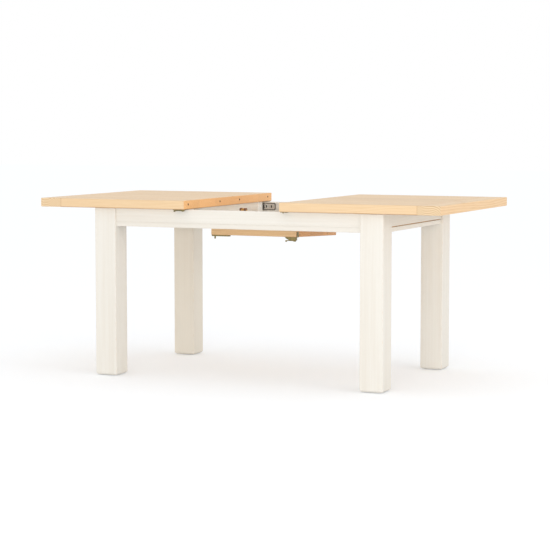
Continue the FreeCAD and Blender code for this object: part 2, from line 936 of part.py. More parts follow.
# Top half nodes
boards = half_boards()
export("top_boards_left", *[board.cut(dowel_holes(-open_edge, dowel_ys, 1)) for board in boards])
right_boards = [across_x(board) for board in boards]
export("top_boards_right", *[board.cut(dowel_sockets(open_edge, dowel_ys, -1)) for board in right_boards])
export("top_dowels_right", *dowels(open_edge, dowel_ys, -1))
export("breadboard_left", breadboard())
export("breadboard_right", across_x(breadboard()))
export("batten_left_back", batten())
export("batten_left_front", across_y(batten()))
export("batten_right_back", across_x(batten()))
export("batten_right_front", across_x(across_y(batten())))
export("cross_batten_left", cross_batten())
export("cross_batten_right", across_x(cross_batten()))
left_lever = lever(-(open_edge + latch_inset))
export("latch_bases_left", half_latch_base(), across_y(half_latch_base()))
export("latch_lever_left_front", left_lever)
export("latch_lever_left_back", across_y(left_lever))
export("latch_keepers_right", half_keeper(), across_y(half_keeper()))

# Leaf nodes, in the folded and stored place
leaf_lever = lever(leaf_end - latch_inset)
leaf_dowels = dowels(-leaf_end, front_dowel_ys, -1)
plates = [hinge_plate(x) for x in hinge_places()]
for side, stow in (("front", stow_front), ("back", stow_back)):
    export(f"leaf_boards_{side}", *[stow(board) for board in leaf_panel()])
    export(f"leaf_dowels_{side}", *[stow(pin) for pin in leaf_dowels])
    export(f"fold_plates_{side}", *[stow(plate) for plate in plates])
    export(f"leaf_latch_base_{side}", stow(leaf_latch_base()))
    export(f"leaf_latch_lever_{side}", stow(leaf_lever))
    export(f"leaf_keeper_{side}", stow(leaf_keeper()))
export("fold_links", *[hung(fold_link(x)) for x in hinge_places()])
export("leaf_arms", hung(leaf_arm()), hung(across_x(leaf_arm())))
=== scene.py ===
from math import pi, radians

import bmesh
import bpy
from mathutils import Matrix, Vector


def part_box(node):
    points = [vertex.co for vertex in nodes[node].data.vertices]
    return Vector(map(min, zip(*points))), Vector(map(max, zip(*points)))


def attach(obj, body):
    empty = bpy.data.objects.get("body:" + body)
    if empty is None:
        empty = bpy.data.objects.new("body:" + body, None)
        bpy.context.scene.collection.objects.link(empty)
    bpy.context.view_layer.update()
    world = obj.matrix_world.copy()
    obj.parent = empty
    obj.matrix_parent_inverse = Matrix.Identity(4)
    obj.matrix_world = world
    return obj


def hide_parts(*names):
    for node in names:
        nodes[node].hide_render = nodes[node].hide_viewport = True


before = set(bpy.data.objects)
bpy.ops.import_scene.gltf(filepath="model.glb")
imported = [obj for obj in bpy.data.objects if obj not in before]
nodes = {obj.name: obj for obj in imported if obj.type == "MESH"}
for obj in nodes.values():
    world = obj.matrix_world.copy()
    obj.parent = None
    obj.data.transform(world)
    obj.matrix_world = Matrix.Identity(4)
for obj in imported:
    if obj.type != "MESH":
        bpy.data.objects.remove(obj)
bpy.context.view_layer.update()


# Legs: four square pine posts, chamfered at the foot. They are glued up, sanded and given a cream
# whitewash by brush, thin enough that the grain still tells and the sharp edges rub through. The back
# left one has a darker, yellower coat, painted shade for the table's shadow over it.

def add(tree, kind, inputs=None, **settings):
    """New shader node of a kind, with its settings, and each input linked to a socket or set to a value."""
    made = tree.nodes.new("ShaderNode" + kind)
    for name, value in settings.items():
        setattr(made, name, value)
    for name, value in (inputs or {}).items():
        if isinstance(value, bpy.types.NodeSocket):
            tree.links.new(value, made.inputs[name])
        else:
            made.inputs[name].default_value = value
    return made


def calc(tree, operation, *values):
    return add(tree, "Math", dict(enumerate(values)), operation=operation).outputs[0]


def vector_calc(tree, operation, *values):
    made = add(tree, "VectorMath", dict(enumerate(values)), operation=operation)
    return made.outputs["Value" if operation in ("LENGTH", "DOT_PRODUCT") else "Vector"]


def split(tree, vector):
    return add(tree, "SeparateXYZ", {0: vector}).outputs


def ramp(tree, value, low, high):
    """0 where value is at low, 1 where it is at high, with a soft start and end."""
    made = add(tree, "MapRange", {0: value, 1: low, 2: high}, interpolation_type="SMOOTHSTEP")
    return made.outputs["Result"]


def blend_colours(tree, amount, first, second, mode="MIX"):
    made = add(tree, "Mix", {0: amount, 6: first, 7: second}, data_type="RGBA", blend_type=mode)
    return made.outputs[2]


def noise(tree, place, scale=1.0, detail=2.0):
    return add(tree, "TexNoise", {"Vector": place, "Scale": scale, "Detail": detail}).outputs


def raise_relief(tree, shader, height, strength, distance):
    """Bump on a shader from a height."""
    bump = add(tree, "Bump", {"Height": height, "Strength": strength, "Distance": distance})
    tree.links.new(bump.outputs[0], shader["Normal"])


def new_group(name, inputs, outputs):
    tree = bpy.data.node_groups.new(name, "ShaderNodeTree")
    for socket, kind in inputs:
        tree.interface.new_socket(socket, in_out="INPUT", socket_type="NodeSocket" + kind)
    for socket, kind in outputs:
        tree.interface.new_socket(socket, in_out="OUTPUT", socket_type="NodeSocket" + kind)
    return tree, tree.nodes.new("NodeGroupInput").outputs, tree.nodes.new("NodeGroupOutput").inputs


def place_group(tree, group, **values):
    return add(tree, "Group", values, node_tree=group).outputs


def new_material(name):
    material = bpy.data.materials.new(name)
    material.use_nodes = True
    return material, material.node_tree, material.node_tree.nodes["Principled BSDF"].inputs


def dress(material, *names):
    for name in names:
        nodes[name].data.materials.clear()
        nodes[name].data.materials.append(material)


def growth_rings():
    """Rings of a sawn board about a pith of its own, with the grain along X of Place."""
    tree, given, out = new_group(
        "growth_rings",
        [("Place", "Vector"), ("Board", "Float"), ("Spacing", "Float")],
        [("Rings", "Float"), ("Fibre", "Float"), ("Tone", "Float")],
    )
    boards_apart = (7.0, 7.0, 7.0)
    sway_stretch = (0.9, 5.0, 5.0)
    sway_across, sway_deep = 0.040, 0.030
    pith_reach, pith_depth, pith_spread = 0.06, 0.02, 0.10
    fibre_stretch = (11.0, 620.0, 620.0)
    draw = add(tree, "TexWhiteNoise", {"W": given["Board"]}, noise_dimensions="1D").outputs
    red, green = add(tree, "SeparateColor", {0: draw["Color"]}).outputs[:2]
    shift = vector_calc(tree, "MULTIPLY", draw["Color"], boards_apart)
    slow = vector_calc(tree, "MULTIPLY_ADD", given["Place"], sway_stretch, shift)
    swing = noise(tree, slow, scale=1.5)["Color"]
    sway_y, sway_z = add(tree, "SeparateColor", {0: swing}).outputs[:2]
    y, z = split(tree, given["Place"])[1:]
    pith_y = calc(tree, "MULTIPLY_ADD", red, 2 * pith_reach, -pith_reach)
    pith_z = calc(tree, "MULTIPLY_ADD", green, -pith_spread, -pith_depth)
    across = calc(tree, "MULTIPLY_ADD", sway_y, sway_across, calc(tree, "SUBTRACT", y, pith_y))
    depth = calc(tree, "MULTIPLY_ADD", sway_z, sway_deep, calc(tree, "SUBTRACT", z, pith_z))
    radius = vector_calc(tree, "LENGTH", add(tree, "CombineXYZ", {1: across, 2: depth}).outputs[0])
    year = calc(tree, "FRACT", calc(tree, "DIVIDE", radius, given["Spacing"]))
    late_growth = ramp(tree, year, low=0.25, high=0.9)
    before_winter = ramp(tree, year, low=1.0, high=0.93)
    placed = vector_calc(tree, "ADD", given["Place"], shift)
    fine = vector_calc(tree, "MULTIPLY", placed, fibre_stretch)
    tree.links.new(calc(tree, "MULTIPLY", late_growth, before_winter), out["Rings"])
    tree.links.new(noise(tree, fine, detail=3.0)[0], out["Fibre"])
    tree.links.new(draw["Value"], out["Tone"])
    return tree


def edge_rub():
    """Patchy mask along the edges of a block of half sizes Half about the middle of Place."""
    tree, given, out = new_group(
        "edge_rub", [("Place", "Vector"), ("Half", "Vector"), ("Width", "Float")], [("Mask", "Float")]
    )
    inside = vector_calc(tree, "SUBTRACT", given["Half"], vector_calc(tree, "ABSOLUTE", given["Place"]))
    close = [ramp(tree, side, given["Width"], 0.0) for side in split(tree, inside)]
    pairs = [calc(tree, "MULTIPLY", close[one], close[one - 1]) for one in range(3)]
    edge = calc(tree, "MAXIMUM", calc(tree, "MAXIMUM", pairs[0], pairs[1]), pairs[2])
    patches = ramp(tree, noise(tree, given["Place"], scale=42.0, detail=4.0)[0], low=0.46, high=0.68)
    tree.links.new(calc(tree, "MULTIPLY", edge, patches), out["Mask"])
    return tree


rings_group = growth_rings()
rub_group = edge_rub()
cream = (0.745, 0.713, 0.65, 1)
# Painted shade: a darker, yellower cream for the back left leg, which stands in the table's shadow.
shaded_cream = (0.70, 0.65, 0.56, 1)
grain_through_paint = (0.655, 0.595, 0.505, 1)
bare_wood = (0.60, 0.36, 0.18, 1)
painted_ring_spacing = 0.014
rub_width = 0.004
joint_reach, joint_full = 0.003, 0.001
twin_numbers = (1.3, 2.9, 0.0)
brush_stretch = (5.0, 330.0, 330.0)
patch_stretch = (1.6, 34.0, 34.0)
patch_share, ring_share, fibre_share = 0.26, 0.10, 0.16
paint_rough, brush_rough = 0.44, 0.16
ring_hollow = -0.35


def painted(name, turn, node, rub=0.0, joint=0.0, twins="", coat=cream):
    """Whitewashed pine on a node and its mirrored twins, each with a number and so a grain of its own.
    turn brings the grain to X, twins names more axes to mirror, rub is how far the edges rub through, joint
    how strongly bare wood shows at the ends, and coat the colour of the paint."""
    low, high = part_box(node)
    middle, half = (low + high) / 2, (high - low) / 2
    middle = Vector([abs(value) for value in middle])
    mirrored = [low[axis] * high[axis] > 0 or letter in twins for axis, letter in enumerate("xyz")]
    material, tree, shader = new_material(name)
    spot = add(tree, "TexCoord").outputs["Object"]
    sides = split(tree, spot)
    folded = [calc(tree, "ABSOLUTE", side) if mirror else side for side, mirror in zip(sides, mirrored)]
    folded = add(tree, "CombineXYZ", dict(enumerate(folded))).outputs[0]
    local = vector_calc(tree, "SUBTRACT", folded, middle)
    along = add(tree, "Mapping", {"Vector": local, "Rotation": turn}).outputs[0]
    numbers = [number * mirror for number, mirror in zip(twin_numbers, mirrored)]
    number = vector_calc(tree, "DOT_PRODUCT", vector_calc(tree, "SIGN", spot), numbers)
    wood = place_group(tree, rings_group, Place=along, Board=number, Spacing=painted_ring_spacing)
    worn = place_group(tree, rub_group, Place=local, Half=half, Width=rub_width)
    rings, fibre = wood["Rings"], wood["Fibre"]
    strokes = noise(tree, vector_calc(tree, "MULTIPLY", along, brush_stretch))[0]
    patches = noise(tree, vector_calc(tree, "MULTIPLY", along, patch_stretch))[0]
    patches = ramp(tree, patches, low=0.35, high=0.7)
    streaks = ramp(tree, fibre, low=0.35, high=0.8)
    thin = calc(tree, "MULTIPLY_ADD", patches, patch_share, calc(tree, "MULTIPLY", rings, ring_share))
    shows = calc(tree, "MULTIPLY_ADD", streaks, fibre_share, thin)
    film = blend_colours(tree, shows, coat, grain_through_paint)
    film = blend_colours(tree, calc(tree, "MULTIPLY", worn["Mask"], rub), film, bare_wood)
    if joint:
        run = max(range(3), key=lambda axis: half[axis])
        off_middle = calc(tree, "ABSOLUTE", split(tree, local)[run])
        end = ramp(tree, off_middle, half[run] - joint_reach, half[run] - joint_full)
        film = blend_colours(tree, calc(tree, "MULTIPLY", end, joint), film, bare_wood)
    tree.links.new(film, shader["Base Color"])
    tree.links.new(calc(tree, "MULTIPLY_ADD", strokes, brush_rough, paint_rough), shader["Roughness"])
    height = calc(tree, "MULTIPLY_ADD", rings, ring_hollow, calc(tree, "ADD", strokes, fibre))
    raise_relief(tree, shader, height, strength=0.25, distance=0.0006)
    return material


upright = (0, radians(90), 0)
leg_paint = painted("leg_whitewash", upright, "leg_front_right", rub=0.3)
# Painted shade: the back left leg gets the darker coat.
shaded_leg_paint = painted("shaded_leg_whitewash", upright, "leg_back_left", rub=0.3, coat=shaded_cream)
dress(leg_paint, "leg_front_left", "leg_front_right", "leg_back_right")
dress(shaded_leg_paint, "leg_back_left")


# Aprons: the long boards are tenoned into the legs with a quirk run along the lower edge, and each end
# has an upper board over a narrow rail. All are whitewashed with the brush drawn along the board.

along_x = (0, 0, 0)
along_y = (0, 0, radians(90))
long_paint = painted("apron_whitewash", along_x, "back_apron", rub=0.2, joint=0.5)
board_paint = painted("end_board_whitewash", along_y, "end_apron_right", rub=0.1, joint=0.4)
rail_paint = painted("end_rail_whitewash", along_y, "end_rail_right", rub=0.1, joint=0.4)
dress(long_paint, "front_apron", "back_apron")
dress(board_paint, "end_apron_left", "end_apron_right")
dress(rail_paint, "end_rail_left", "end_rail_right")


# Reveal tongues: loose strips of bare pine that join the end boards to the rails and show between them
# as a brown line, because the brush doesn't reach them. The pine is painted paler than it is, painted
# light that lifts the line against the shade of its narrow recess.

plain_end_tint = (1.0, 0.80, 0.62, 1)
late_wood_shade = (0.62, 0.48, 0.34, 1)
half_number, strip_number = 9.0, 8.0
figure_streak, figure_ring = 0.35, 0.6
darkest_tone, tone_spread = 0.945, 0.09
streak_rough = 0.14
ring_ridge = 0.5


def pine(
    name, turn, node, pale, dark, board=None, rough=0.46, end_tint=plain_end_tint, end_rings=0.4,
    spacing=0.0055, lay=None, stains=(),
):
    """Bare or oiled wood on a node, with a number and so a grain of its own for each board or strip. turn
    brings the grain to X, board is (edge, width) where boards lie side by side, end_rings is how strongly
    the rings tell on the cut ends, and lay is (pivot, angle) of a piece that hangs turned about X. A stain
    takes the level place and the colour so far, and gives a mask, two colours and, where they don't simply
    mix, how they blend."""
    low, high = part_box(node)
    middle = (low + high) / 2
    material, tree, shader = new_material(name)
    source = add(tree, "TexCoord").outputs
    level = source["Object"]
    if lay:
        pivot, angle = lay
        hung = vector_calc(tree, "SUBTRACT", level, pivot)
        levelling = {"Vector": hung, "Rotation": (-angle, 0, 0), "Location": pivot}
        level = add(tree, "Mapping", levelling).outputs[0]
    spot = add(tree, "Mapping", {"Vector": level, "Rotation": turn}).outputs[0]
    facing = add(tree, "Mapping", {"Vector": source["Normal"], "Rotation": turn}).outputs[0]
    x, y, z = split(tree, spot)
    if board:
        edge, width = board
        from_edge = calc(tree, "SUBTRACT", y, edge)
        local = calc(tree, "SUBTRACT", calc(tree, "FLOORED_MODULO", from_edge, width), width / 2)
        number = calc(tree, "FLOOR", calc(tree, "DIVIDE", from_edge, width))
        if low.x > 0:
            number = calc(tree, "MULTIPLY_ADD", calc(tree, "SIGN", x), half_number, number)
    else:
        out = middle.x if turn == along_y else middle.y
        local = calc(tree, "SUBTRACT", calc(tree, "ABSOLUTE", y), abs(out))
        number = calc(tree, "MULTIPLY", calc(tree, "SIGN", y), strip_number)
    place = add(tree, "CombineXYZ", {0: x, 1: local, 2: calc(tree, "SUBTRACT", z, middle.z)}).outputs[0]
    wood = place_group(tree, rings_group, Place=place, Board=number, Spacing=spacing)
    rings, fibre = wood["Rings"], wood["Fibre"]
    streak = ramp(tree, fibre, low=0.3, high=0.75)
    figure = calc(tree, "MULTIPLY_ADD", streak, figure_streak, calc(tree, "MULTIPLY", rings, figure_ring))
    colour = blend_colours(tree, figure, pale, dark)
    tone = calc(tree, "MULTIPLY_ADD", wood["Tone"], tone_spread, darkest_tone)
    tone = add(tree, "CombineColor", {0: tone, 1: tone, 2: tone}).outputs[0]
    colour = blend_colours(tree, 1.0, colour, tone, "MULTIPLY")
    end = ramp(tree, calc(tree, "ABSOLUTE", split(tree, facing)[0]), low=0.55, high=0.8)
    cut = blend_colours(tree, 1.0, blend_colours(tree, 1.0, colour, tone, "MULTIPLY"), end_tint, "MULTIPLY")
    cut = blend_colours(tree, calc(tree, "MULTIPLY", rings, end_rings), cut, late_wood_shade, "MULTIPLY")
    colour = blend_colours(tree, end, colour, cut)
    for stain in stains:
        colour = blend_colours(tree, *stain(tree, level, colour))
    tree.links.new(colour, shader["Base Color"])
    dull = calc(tree, "MULTIPLY_ADD", streak, streak_rough, rough - streak_rough / 2)
    tree.links.new(dull, shader["Roughness"])
    height = calc(tree, "MULTIPLY_ADD", rings, ring_ridge, fibre)
    raise_relief(tree, shader, height, strength=0.22, distance=0.0005)
    return material


# Painted light: this bare pine is paler than it is, to lift it against the shade of the recess.
lit_bare_pine, lit_bare_ring = (0.80, 0.47, 0.21, 1), (0.60, 0.31, 0.12, 1)
tongue_pine = pine("tongue_pine", along_y, "reveal_tongues", lit_bare_pine, lit_bare_ring, rough=0.6)
dress(tongue_pine, "reveal_tongues")


# Corner braces: blocks across the corners behind the aprons, whitewashed with the frame and held by a
# zinc-plated screw with a cross recess near each end.

def keep_piece(mesh, name, material, body):
    """Object from a finished bmesh, riding on a body."""
    data = bpy.data.meshes.new(name)
    mesh.to_mesh(data)
    mesh.free()
    data.materials.append(material)
    piece = bpy.data.objects.new(name, data)
    bpy.context.scene.collection.objects.link(piece)
    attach(piece, body)
    return piece


def points_of(geometry):
    return [item for item in geometry if isinstance(item, bmesh.types.BMVert)]


rim_share, dome_share = 0.16, 0.3
land_share, waist_share, recess_share = 0.22, 0.36, 0.7


def screw_heads(name, body, spots, head, material, lay=Matrix()):
    """Cross-recessed heads at (point, outward direction) pairs. head is (radius, height above the seat)."""
    radius, proud = head
    mesh = bmesh.new()
    for point, outward in spots:
        turn = Vector(outward).to_track_quat("Z", "Y").to_matrix().to_4x4()
        seat = Matrix.Translation(point) @ turn
        rim = bmesh.ops.create_circle(mesh, cap_ends=True, segments=16, radius=radius, matrix=seat)["verts"]
        up = turn.to_3x3() @ Vector((0, 0, proud))
        risen = bmesh.ops.extrude_face_region(mesh, geom=rim[0].link_faces[:])["geom"]
        bmesh.ops.translate(mesh, vec=up, verts=points_of(risen))
        top = next(face for face in risen if isinstance(face, bmesh.types.BMFace))
        bmesh.ops.inset_region(mesh, faces=[top], thickness=radius * rim_share, depth=proud * dome_share)
        bmesh.ops.inset_region(mesh, faces=[top], thickness=radius * land_share)
        middle = top.calc_center_median()
        for count, vert in enumerate(top.verts):
            vert.co = middle.lerp(vert.co, 1.0 if count % 4 == 0 else waist_share)
        recess = bmesh.ops.extrude_face_region(mesh, geom=[top])["geom"]
        bmesh.ops.translate(mesh, vec=-up * recess_share, verts=points_of(recess))
        bmesh.ops.delete(mesh, geom=[top], context="FACES_ONLY")
    bmesh.ops.recalc_face_normals(mesh, faces=mesh.faces)
    bmesh.ops.transform(mesh, matrix=lay, verts=mesh.verts)
    keep_piece(mesh, name, material, body)


drawn_stretch = (40.0, 900.0, 900.0)
cloud_dulling, line_dulling = 0.22, 0.1
clear_sheen = 0.1


def plated(name, colour, stain, rough, clouds=26.0, shade_marks=(), metal=1.0):
    """Plated or polished metal with cloudy staining and fine drawn lines. Each further mark is a function
    that gives a mask and a colour from the place; on the runners these are painted shade in the channels."""
    material, tree, shader = new_material(name)
    shader["Metallic"].default_value = metal
    spot = add(tree, "TexCoord").outputs["Object"]
    cloud = noise(tree, spot, scale=clouds, detail=5.0)[0]
    lines = noise(tree, vector_calc(tree, "MULTIPLY", spot, drawn_stretch))[0]
    skin = blend_colours(tree, ramp(tree, cloud, low=0.38, high=0.7), colour, stain)
    for shade_mark in shade_marks:
        mask, shade_colour = shade_mark(tree, spot)
        skin = blend_colours(tree, mask, skin, shade_colour)
    tree.links.new(skin, shader["Base Color"])
    dull = calc(tree, "MULTIPLY_ADD", cloud, cloud_dulling, rough - clear_sheen)
    tree.links.new(calc(tree, "MULTIPLY_ADD", lines, line_dulling, dull), shader["Roughness"])
    raise_relief(tree, shader, lines, strength=0.12, distance=0.0002)
    return material


zinc, dull_zinc = (0.74, 0.72, 0.68, 1), (0.58, 0.56, 0.52, 1)
screw_zinc = plated("screw_zinc", zinc, dull_zinc, rough=0.34)
wood_screw = (0.0042, 0.0006)
brace_grain = (0, 0, radians(45))
brace_paint = painted("brace_whitewash", brace_grain, "corner_braces", twins="xy")
dress(brace_paint, "corner_braces")
brace_low, brace_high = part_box("corner_braces")
brace_level = (brace_low.z + brace_high.z) / 2
brace_run = 0.1814
brace_screw_shares = (0.18, 0.82)
brace_spots = []
for side_x in (-1, 1):
    for side_y in (-1, 1):
        for share in brace_screw_shares:
            x = brace_high.x - brace_run * (1 - share)
            y = brace_high.y - brace_run * share
            brace_spots.append(((side_x * x, side_y * y, brace_level), (-side_x, -side_y, 0)))
screw_heads("brace_screws", "frame", brace_spots, wood_screw, screw_zinc)


# Glides: square nylon pads nailed under the legs, and slim nylon strips let into the top of the aprons
# for the halves to run over. They are moulded, matt and scuffed where they slide.

milk_white, scuffed_white = (0.78, 0.77, 0.73, 1), (0.62, 0.60, 0.55, 1)
nylon_rough, scuff_rough = 0.35, 0.3


def nylon():
    material, tree, shader = new_material("white_nylon")
    shader["Subsurface Weight"].default_value = 0.1
    spot = add(tree, "TexCoord").outputs["Object"]
    scuff = noise(tree, spot, scale=60.0, detail=5.0)[0]
    skin = blend_colours(tree, ramp(tree, scuff, low=0.45, high=0.75), milk_white, scuffed_white)
    tree.links.new(skin, shader["Base Color"])
    tree.links.new(calc(tree, "MULTIPLY_ADD", scuff, scuff_rough, nylon_rough), shader["Roughness"])
    raise_relief(tree, shader, noise(tree, spot, scale=900.0)[0], strength=0.15, distance=0.0002)
    return material


dress(nylon(), "foot_glides", "slide_pads")


# Leaf bearers: whitewashed rails housed into the long aprons under the gap. Stained hardwood brackets
# screwed on them hold the brass pivots of the leaf, and two hardwood stops bear on its back edge.

bearer_paint = painted("bearer_whitewash", along_y, "leaf_bearer_right")
dress(bearer_paint, "leaf_bearer_left", "leaf_bearer_right")
umber, dark_umber = (0.25, 0.105, 0.048, 1), (0.13, 0.05, 0.022, 1)
dull_end = (0.85, 0.8, 0.75, 1)
hardwood = {"pale": umber, "dark": dark_umber, "rough": 0.42, "end_tint": dull_end, "spacing": 0.004}
bracket_wood = pine("stained_bracket", along_y, "pivot_blocks", **hardwood)
stop_wood = pine("stained_stop", along_x, "leaf_stops", **hardwood)
dress(bracket_wood, "pivot_blocks")
dress(stop_wood, "leaf_stops")
brass_yellow, brass_brown = (0.80, 0.55, 0.20, 1), (0.60, 0.38, 0.12, 1)
brass = plated("drawn_brass", brass_yellow, brass_brown, rough=0.34)
dress(brass, "pivot_pins")
pin_low, pin_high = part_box("pivot_pins")
leaf_pivot = Vector((0, (pin_low.y + pin_high.y) / 2, (pin_low.z + pin_high.z) / 2))
arm_inner_x = min(abs(corner.co.x) for corner in nodes["pivot_pins"].data.vertices)
bearer_low, bearer_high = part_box("leaf_bearer_right")
bearer_x = (bearer_low.x + bearer_high.x) / 2
bearer_screw_inset = 0.008
bearer_screw_y = bearer_high.y - bearer_screw_inset
bracket_foot = 0.012
bracket_screw_reach = 0.014
foot_top = bearer_high.z + bracket_foot
stop_low, stop_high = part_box("leaf_stops")
stop_y = (stop_low.y + stop_high.y) / 2
bracket_screw_ys = (leaf_pivot.y - bracket_screw_reach, leaf_pivot.y + bracket_screw_reach)
upward, downward = (0, 0, 1), (0, 0, -1)
bearer_spots = []
for x in (-bearer_x, bearer_x):
    bearer_spots += [((x, y, bearer_low.z), downward) for y in (-bearer_screw_y, bearer_screw_y)]
    bearer_spots += [((x, y, foot_top), upward) for y in bracket_screw_ys]
    bearer_spots.append(((x, stop_y, stop_high.z), upward))
screw_heads("bearer_screws", "frame", bearer_spots, wood_screw, screw_zinc)
pivot_cap = (0.0075, 0.0022)
cap_spots = [((side * arm_inner_x, leaf_pivot.y, leaf_pivot.z), (-side, 0, 0)) for side in (-1, 1)]
screw_heads("pivot_caps", "frame", cap_spots, pivot_cap, brass)


# Runners: three-part ball-bearing slides of zinc-plated steel sheet. The outer channel is screwed to the
# apron and the inner one to the batten, and greased balls in cages run on the flanges of the middle one.
# The channels are darkened with painted shade along the tracks, at the cut end and on the web behind.

middle_low, middle_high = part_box("runner_middles_right")
outer_low, outer_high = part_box("runner_outers_right")
runner_z = (outer_low.z + outer_high.z) / 2
runner_length = outer_high.x - outer_low.x
runner_travel = 2 * (middle_low.x - outer_low.x)
# Painted shade: this dark colour stands for the shade in the runner channels, with greasing on the tracks.
grease_and_shade = (0.055, 0.045, 0.035, 1)
track_near, track_far = (0.0128, 0.0136), (0.0172, 0.0166)
end_shade_strength = 0.9


def off_centre(tree, spot):
    return calc(tree, "ABSOLUTE", calc(tree, "SUBTRACT", split(tree, spot)[2], runner_z))


def past_end(tree, spot):
    """How far outward a place lies from the cut end of the middle channel that shows in the gap."""
    return calc(tree, "SUBTRACT", calc(tree, "ABSOLUTE", split(tree, spot)[0]), middle_low.x)


def greased_shaded_tracks(tree, spot):
    """Painted shade, with greasing, on the ball tracks above and below the middle channel, under its
    flanges.
    """
    off = off_centre(tree, spot)
    track = calc(tree, "MULTIPLY", ramp(tree, off, *track_near), ramp(tree, off, *track_far))
    behind = ramp(tree, past_end(tree, spot), low=-0.001, high=0.0)
    return calc(tree, "MULTIPLY", track, behind), grease_and_shade


def shaded_end_line(tree, spot):
    """Painted shade: a dark line where the cut end of the middle channel meets the web behind it."""
    line = ramp(tree, past_end(tree, spot), low=0.0035, high=0.0025)
    return calc(tree, "MULTIPLY", line, end_shade_strength), grease_and_shade


def shaded_web(tree, spot):
    """Painted shade along the web behind the middle channel, dark through its slots."""
    web = ramp(tree, off_centre(tree, spot), low=0.0085, high=0.0075)
    behind = ramp(tree, past_end(tree, spot), low=0.002, high=0.004)
    return calc(tree, "MULTIPLY", web, behind), grease_and_shade


def shade_past_inner_end(tree, spot):
    """Painted shade in patches on the middle channel ahead of the inner channel's end, for the batten end's
    shadow.
    """
    ahead = ramp(tree, past_end(tree, spot), low=0.048, high=0.058)
    patches = ramp(tree, noise(tree, spot, scale=160.0)[0], low=0.35, high=0.6)
    return calc(tree, "MULTIPLY", ahead, patches), grease_and_shade


white_zinc, grey_zinc = (0.84, 0.83, 0.77, 1), (0.72, 0.70, 0.64, 1)
ball_grey, ball_shade = (0.66, 0.66, 0.65, 1), (0.50, 0.50, 0.49, 1)
# Painted shade marks for the outer and middle channels.
outer_shade_marks, middle_shade_marks = (greased_shaded_tracks, shaded_web), (greased_shaded_tracks, shaded_end_line, shade_past_inner_end)
outer_zinc = plated("outer_zinc", white_zinc, grey_zinc, rough=0.36, shade_marks=outer_shade_marks, metal=0.6)
middle_zinc = plated("middle_zinc", zinc, dull_zinc, rough=0.36, shade_marks=middle_shade_marks)
inner_zinc = plated("inner_zinc", zinc, dull_zinc, rough=0.36)
ball_steel = plated("ball_steel", ball_grey, ball_shade, rough=0.2)
ball_radius = 0.0015
ball_rows = (0.01485, 0.01095)
balls_in_row = 9
first_ball, row_pitches = 0.6, balls_in_row + 0.2
cage_inset = 0.00485
cage_y = middle_high.y - cage_inset
ball_pitch = (middle_high.x - middle_low.x) / row_pitches
ball_xs = [middle_low.x + (count + first_ball) * ball_pitch for count in range(balls_in_row)]
runner_sheet = 0.0012
web_y = outer_high.y - runner_sheet
seat_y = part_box("batten_right_back")[1].y + runner_sheet
runner_screw = (0.0036, 0.0003)
slot_shares = (0.28, 0.816)
outer_slots = [outer_high.x - share * runner_length for share in slot_shares]
inner_slots = [x + runner_travel for x in outer_slots]
for hand, side in (("left", -1), ("right", 1)):
    dress(outer_zinc, f"runner_outers_{hand}")
    dress(middle_zinc, f"runner_middles_{hand}")
    dress(inner_zinc, f"runner_inners_{hand}")
    balls = bmesh.new()
    for way in (-1, 1):
        for row in (ball_rows[0], ball_rows[1], -ball_rows[0], -ball_rows[1]):
            for x in ball_xs:
                spot = Matrix.Translation((side * x, way * cage_y, runner_z + row))
                bmesh.ops.create_icosphere(balls, subdivisions=2, radius=ball_radius, matrix=spot)
    for face in balls.faces:
        face.smooth = True
    keep_piece(balls, f"runner_balls_{hand}", ball_steel, f"runners_{hand}")
    outer_spots = [((side * x, way * web_y, runner_z), (0, -way, 0)) for way in (-1, 1) for x in outer_slots]
    inner_spots = [((side * x, way * seat_y, runner_z), (0, way, 0)) for way in (-1, 1) for x in inner_slots]
    screw_heads(f"outer_screws_{hand}", "frame", outer_spots, runner_screw, screw_zinc)
    screw_heads(f"inner_screws_{hand}", f"half_{hand}", inner_spots, runner_screw, screw_zinc)


# Top halves: six pine boards edge to edge, tongued into a breadboard end that runs across them, with
# eased edges. They are oiled, so the cut ends at the meeting edge drink more and turn a deeper orange,
# and the cut ends are also painted brighter, painted light for faces that the lamps reach little.

top_low, top_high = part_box("top_boards_right")
joint_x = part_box("breadboard_right")[0].x
boards_in_half = 6
board_width = (top_high.y - top_low.y) / boards_in_half
dowel_depth = 0.017
dowel_z = top_high.z - dowel_depth
dowel_ys = (0.1, 0.408)
dowel_radius = 0.004
hole_rim, hole_wall = dowel_radius + 0.0008, dowel_radius + 0.0004
hole_brown = (0.10, 0.04, 0.015, 1)
# Painted shade: brown for the shaded lower arrises of the top and the leaf.
arris_shade_brown = (0.33, 0.14, 0.05, 1)
glue_brown = (0.45, 0.24, 0.10, 1)
outer_edge_tint = (1.0, 0.93, 0.84, 1)
arris_shade_strength, glue_strength = 0.85, 0.5


def dark_holes(tree, place, wood):
    """Shade inside the plain dowel holes."""
    y, z = split(tree, place)[1:]
    rise = calc(tree, "SUBTRACT", z, dowel_z)
    reach = []
    for hole_y in dowel_ys:
        run = calc(tree, "SUBTRACT", calc(tree, "ABSOLUTE", y), hole_y)
        reach.append(vector_calc(tree, "LENGTH", add(tree, "CombineXYZ", {1: run, 2: rise}).outputs[0]))
    nearest = calc(tree, "MINIMUM", reach[0], reach[1])
    return ramp(tree, nearest, hole_rim, hole_wall), wood, hole_brown


def facing_along(tree, axis):
    """How squarely the surface looks along an axis, either way."""
    return calc(tree, "ABSOLUTE", split(tree, add(tree, "TexCoord").outputs["Normal"])[axis])


def on_edges(tree, mask):
    """The mask on a board's edges and arrises alone, not on its broad faces."""
    return calc(tree, "MULTIPLY", mask, ramp(tree, facing_along(tree, 2), low=0.97, high=0.85))


